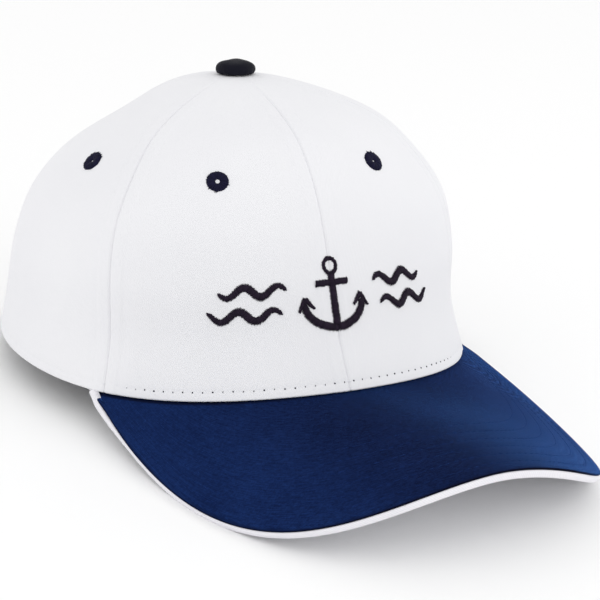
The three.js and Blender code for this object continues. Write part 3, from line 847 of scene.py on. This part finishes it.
class Graph:
    """The nodes of one material."""

    def __init__(self, name):
        self.material = bpy.data.materials.new(name)
        self.material.use_nodes = True
        self.tree = self.material.node_tree
        self.tree.nodes.clear()

    def node(self, kind, settings=None, sockets=None, output=0):
        """A node with its settings and the values or links of its sockets, as one output's value."""
        node = self.tree.nodes.new(kind)
        for key, setting in (settings or {}).items():
            setattr(node, key, setting)
        for key, given in (sockets or {}).items():
            if isinstance(given, Value):
                self.tree.links.new(given.socket, node.inputs[key])
            else:
                node.inputs[key].default_value = given
        return Value(self, node.outputs[output]) if len(node.outputs) else None

    def math(self, operation, a, b=0.0):
        return self.node("ShaderNodeMath", {"operation": operation}, {0: a, 1: b})

    def wave(self, value, period):
        """A smooth ripple from 0 to 1 of a length along it."""
        return self.math("SINE", value * (2 * math.pi / period)) * 0.5 + 0.5

    def ease(self, value, low, high, top=1.0):
        """0 at low and top at high, with a soft change between."""
        sockets = {0: value, 1: low, 2: high, 3: 0.0, 4: top}
        return self.node("ShaderNodeMapRange", {"interpolation_type": "SMOOTHSTEP"}, sockets)

    def place(self):
        return self.node("ShaderNodeTexCoord", output="Object")

    def cloth(self):
        """The piece's own cloth coordinates, in millimetres: across and along."""
        uv = self.node("ShaderNodeUVMap", {"uv_map": "cloth"})
        split = self.node("ShaderNodeSeparateXYZ", sockets={0: uv})
        return split, Value(self, split.socket.node.outputs[1])

    def noise(self, vector, scale, detail=2.0, roughness=0.5):
        sockets = {"Vector": vector, "Scale": scale, "Detail": detail, "Roughness": roughness}
        return self.node("ShaderNodeTexNoise", sockets=sockets)

    def stretched(self, across, along, shape):
        """A vector of cloth coordinates, each times its share of the shape, for streaks."""
        sockets = {0: across * shape[0], 1: along * shape[1], 2: 0.0}
        return self.node("ShaderNodeCombineXYZ", sockets=sockets)

    def blend(self, factor, a, b):
        """A colour between two, by a factor from 0 to 1."""
        sockets = {0: factor, 6: a, 7: b}
        return self.node("ShaderNodeMix", {"data_type": "RGBA"}, sockets, output=2)

    def finish(self, color, roughness, height=None, depth=0.0, **constants):
        """The cloth shader: what varies feeds its colour, roughness and bump, and the constants
        are set on it."""
        sockets = {"Base Color": color, "Roughness": roughness, **constants}
        if height is not None:
            bump = {"Height": height, "Distance": depth, "Strength": 1.0}
            sockets["Normal"] = self.node("ShaderNodeBump", sockets=bump)
        shader = self.node("ShaderNodeBsdfPrincipled", sockets=sockets)
        self.node("ShaderNodeOutputMaterial", sockets={"Surface": shader})
        return self.material


def color(red, green, blue):
    """An sRGB colour of 0 to 255 as a linear one."""
    shares = (c / 255 for c in (red, green, blue))
    return tuple(c / 12.92 if c <= 0.04045 else ((c + 0.055) / 1.055) ** 2.4 for c in shares) + (1.0,)


def lustre(sheen, sheen_roughness, specular, tint=(1.0, 1.0, 1.0, 1.0)):
    """A cloth's sheen and gloss, by their names on the shader."""
    return {
        "Sheen Weight": sheen,
        "Sheen Roughness": sheen_roughness,
        "Sheen Tint": tint,
        "Specular IOR Level": specular,
    }


COTTON = lustre(0.12, 0.5, 0.25)
THREAD = lustre(0.05, 0.3, 0.3)
DULL_THREAD = lustre(0.05, 0.3, 0.12)
NAVY_GLINT = color(84, 152, 255)
TWILL_PITCH = 0.62


def twill(graph, pitch):
    """Height of a twill weave from 0 to 1: slanting ribs, each crossed by finer threads."""
    across, along = graph.cloth()
    rib = graph.wave(across * 0.894 + along * 0.447, pitch)
    crossing = graph.wave(along * 0.894 - across * 0.447, pitch * 0.8)
    return rib * (crossing * 0.35 + 0.65)


def white_twill(name, light, shade, depth=0.00007):
    """White cotton twill: fine ribs, a little fuzz, and a faint unevenness of tone."""
    graph = Graph(name)
    weave = twill(graph, TWILL_PITCH)
    place = graph.place()
    fuzz = graph.noise(place, 1400, 3.0)
    cloudy = graph.noise(place, 22, 3.0)
    tone = weave * 0.22 + cloudy * 0.5 + fuzz * 0.28
    height = weave * 0.7 + fuzz * 0.3
    return graph.finish(
        graph.blend(tone, shade, light), 0.86 + fuzz * 0.1, height, depth, **COTTON
    )


def navy_twill(name):
    """Navy brushed twill: ribs, a nap of short light fibres laid along the cloth, cloudy dye,
    flanks lightened as painted light, faint streaks of painted sheen near the edge on the wearer's
    left, and the painted shade at its edges and along the rim."""
    graph = Graph(name)
    weave = twill(graph, TWILL_PITCH)
    across, along = graph.cloth()
    place = graph.place()
    nap = graph.noise(graph.stretched(across, along, (0.3, 1.7)), 1.0, 4.0, 0.7)
    cloudy = graph.noise(place, 45, 4.0, 0.6)
    fuzz = graph.noise(place, 900, 3.0, 0.65)
    fibres = weave * 0.1 + nap * 0.45 + cloudy * 0.15 + fuzz * 0.3
    tone = graph.ease(fibres, 0.36, 0.64)
    height = weave * 0.3 + nap * 0.45 + fuzz * 0.25
    shade = graph.node("ShaderNodeAttribute", {"attribute_name": "shade"}, output=2)
    # Painted light: the navy is lightened towards both flanks of the peak, standing in for the light on its
    # sloping sides.
    painted_light_sides = graph.ease(graph.math("ABSOLUTE", across), 15.0, 75.0, 0.55)
    middle = graph.blend(tone, color(4, 14, 44), color(18, 35, 78))
    base_colour = graph.blend(painted_light_sides, middle, graph.blend(tone, color(14, 32, 76), color(30, 58, 116)))
    # Painted sheen: pale streaks near the edge, on the wearer's left of the peak only.
    painted_sheen_lines = graph.wave(along + cloudy * 2.0, 3.4) ** 3.0
    streaks = painted_sheen_lines * graph.ease(along, 30.0, 14.0) * graph.ease(across, 30.0, 75.0) * nap * 0.5
    with_painted_sheen = graph.blend(streaks, base_colour, color(70, 106, 176))
    return graph.finish(
        graph.blend(shade, with_painted_sheen, color(9, 9, 24)), 0.8 + fuzz * 0.14, height, 0.00022,
        **lustre(0.9, 0.15, 0.03, NAVY_GLINT),
    )


def ribbed_tape(name):
    """The white folded tape: fine ribs on the slant of its bias cut."""
    graph = Graph(name)
    along, around = graph.cloth()
    rib = graph.wave(along * 0.8 + around * 0.6, 0.8)
    place = graph.place()
    fuzz = graph.noise(place, 900, 3.0)
    cloudy = graph.noise(place, 60, 2.0)
    tone = rib * 0.35 + fuzz * 0.3 + cloudy * 0.35
    base_colour = graph.blend(tone, color(226, 224, 232), color(247, 246, 249))
    return graph.finish(base_colour, 0.8 + fuzz * 0.1, rib * 0.7 + fuzz * 0.3, 0.00012, **COTTON)


def satin_thread(name, dark, light, gloss, finish):
    """Thread: each one has its own tone, and its plies wind along it."""
    graph = Graph(name)
    tone, along = graph.cloth()
    ply = graph.wave(along + tone * 3.0, 0.5)
    fuzz = graph.noise(graph.place(), 2500, 2.0)
    mixed = tone * 0.5 + ply * 0.25 + fuzz * 0.25
    base_colour = graph.blend(mixed, dark, light)
    return graph.finish(base_colour, gloss + fuzz * 0.15, ply * 0.6 + fuzz * 0.4, 0.00004, **finish)


def button_cloth(name):
    """Navy cloth drawn over the button's shell: a tight weave and soft wear on its top."""
    graph = Graph(name)
    across, along = graph.cloth()
    weave = graph.wave(across, 0.5) * graph.wave(along, 0.5)
    place = graph.place()
    cloudy = graph.noise(place, 180, 3.0)
    fuzz = graph.noise(place, 1500, 2.0)
    tone = weave * 0.3 + cloudy * 0.5 + fuzz * 0.2
    base_colour = graph.blend(tone, color(6, 6, 16), color(22, 22, 36))
    height = weave * 0.6 + fuzz * 0.4
    return graph.finish(base_colour, 0.6 + fuzz * 0.2, height, 0.00008, **lustre(0.04, 0.4, 0.12))


def pale_floor():
    """A plain white studio floor."""
    graph = Graph("studio_floor")
    cloudy = graph.noise(graph.place(), 1.5, 2.0)
    return graph.finish(graph.blend(cloudy, (0.975, 0.975, 0.975, 1), (0.985, 0.985, 0.985, 1)), 0.95)


WHITE = white_twill("white_cotton_twill", color(242, 242, 244), color(229, 229, 233))
BAND = white_twill("band_cotton", color(240, 240, 243), color(226, 226, 231), 0.0001)
UNDER = white_twill("peak_under_cotton", color(240, 240, 244), color(226, 226, 232))
NAVY = navy_twill("navy_brushed_twill")
TAPE = ribbed_tape("white_edging_tape")
SATIN = satin_thread("navy_satin_thread", color(8, 8, 28), color(26, 24, 56), 0.6, DULL_THREAD)
DARK_SATIN = satin_thread("dark_satin_thread", color(14, 9, 22), color(44, 32, 50), 0.6, DULL_THREAD)
WHITE_THREAD = satin_thread("white_sewing_thread", color(226, 226, 232), color(246, 246, 248), 0.6, THREAD)
NAVY_THREAD = satin_thread(
    "navy_sewing_thread", color(12, 28, 70), color(26, 48, 102), 0.8, lustre(1.0, 0.15, 0.03, NAVY_GLINT)
)
HOLE_SHADE = satin_thread("needle_hole_shade", color(20, 18, 30), color(60, 58, 74), 0.9, THREAD)
COVER = button_cloth("button_cover_cloth")

for panel_name, (start, stop, _, _) in PANELS.items():
    panel(panel_name, start, stop, WHITE)
for number, (panel_name, (_, _, place, row)) in enumerate(PANELS.items()):
    hole = EYELET_HOLES.get(panel_name, NARROW_HOLE)
    eyelet(panel_name, place, row, hole, SATIN, np.random.default_rng(20 + number))
sweatband(BAND)
peak_cloth("peak_upper_cloth", True, NAVY, "peak_top")
peak_cloth("peak_under_cloth", False, UNDER, "peak_under")
peak_edging(TAPE)
button(COVER)
rim_stitches(WHITE_THREAD, HOLE_SHADE, np.random.default_rng(5))
peak_stitches(NAVY_THREAD, np.random.default_rng(7))
front_motif(DARK_SATIN, np.random.default_rng(11))

FLOOR_REACH = 4.0
floor_mesh = bpy.data.meshes.new("studio_floor")
corners = [(x * FLOOR_REACH, y * FLOOR_REACH, 0) for x, y in ((-1, -1), (1, -1), (1, 1), (-1, 1))]
floor_mesh.from_pydata(corners, [], [(0, 1, 2, 3)])
floor_mesh.materials.append(pale_floor())
floor = bpy.data.objects.new("studio_floor", floor_mesh)
bpy.context.collection.objects.link(floor)

CAMERA_AZIMUTH = math.radians(-33.318)
CAMERA_ELEVATION = math.radians(21.077)
CAMERA_ROLL = math.radians(5.557)
CAMERA_DISTANCE = 0.972
CAMERA_AIM = (-0.2, 44.1)
FOCAL_PIXELS = 2466.5
PHOTO_PIXELS = 600
LIGHT_AIM = np.array([0, 0, 0.06])

sin_a, cos_a = math.sin(CAMERA_AZIMUTH), math.cos(CAMERA_AZIMUTH)
sin_e, cos_e = math.sin(CAMERA_ELEVATION), math.cos(CAMERA_ELEVATION)
BACK = np.array([sin_a * cos_e, -cos_a * cos_e, sin_e])
LEVEL_RIGHT = np.array([cos_a, sin_a, 0.0])
LEVEL_UP = np.cross(BACK, LEVEL_RIGHT)


def add_camera():
    """The camera looks along its azimuth and elevation at a point a little off the cap's middle,
    and is rolled as the photograph is."""
    right = LEVEL_RIGHT * math.cos(CAMERA_ROLL) + LEVEL_UP * math.sin(CAMERA_ROLL)
    up = LEVEL_UP * math.cos(CAMERA_ROLL) - LEVEL_RIGHT * math.sin(CAMERA_ROLL)
    aim = (LEVEL_RIGHT * CAMERA_AIM[0] + UP * CAMERA_AIM[1]) / 1000
    place = aim + BACK * CAMERA_DISTANCE
    data = bpy.data.cameras.new("camera")
    data.sensor_width = 36
    data.lens = FOCAL_PIXELS * data.sensor_width / PHOTO_PIXELS
    data.clip_start, data.clip_end = 0.05, 20
    camera = bpy.data.objects.new("camera", data)
    turn = np.eye(4)
    turn[:3, 0], turn[:3, 1], turn[:3, 2], turn[:3, 3] = right, up, BACK, place
    camera.matrix_world = Matrix(turn.tolist())
    bpy.context.collection.objects.link(camera)
    bpy.context.scene.camera = camera


def add_light(name, place, size, power):
    """A square soft light that faces the middle of the cap."""
    data = bpy.data.lights.new(name, "AREA")
    data.size, data.energy = size, power
    lamp = bpy.data.objects.new(name, data)
    back = unit(place - LIGHT_AIM)
    right = unit(np.cross(UP, back))
    turn = np.eye(4)
    turn[:3, 0], turn[:3, 1], turn[:3, 2], turn[:3, 3] = right, np.cross(back, right), back, place
    lamp.matrix_world = Matrix(turn.tolist())
    bpy.context.collection.objects.link(lamp)


add_camera()
add_light("key_light", LEVEL_RIGHT * 1.1 + BACK * 0.3 + UP * 0.55, 1.2, 2.7)
add_light("fill_light", -LEVEL_RIGHT * 1.1 + BACK * 0.8 + UP * 0.5, 1.4, 2.3)

world = bpy.data.worlds.new("studio_world")
world.use_nodes = True
world.node_tree.nodes["Background"].inputs["Color"].default_value = (1.0, 1.0, 1.0, 1.0)
world.node_tree.nodes["Background"].inputs["Strength"].default_value = 0.94
bpy.context.scene.world = world
bpy.context.scene.view_settings.view_transform = "Standard"
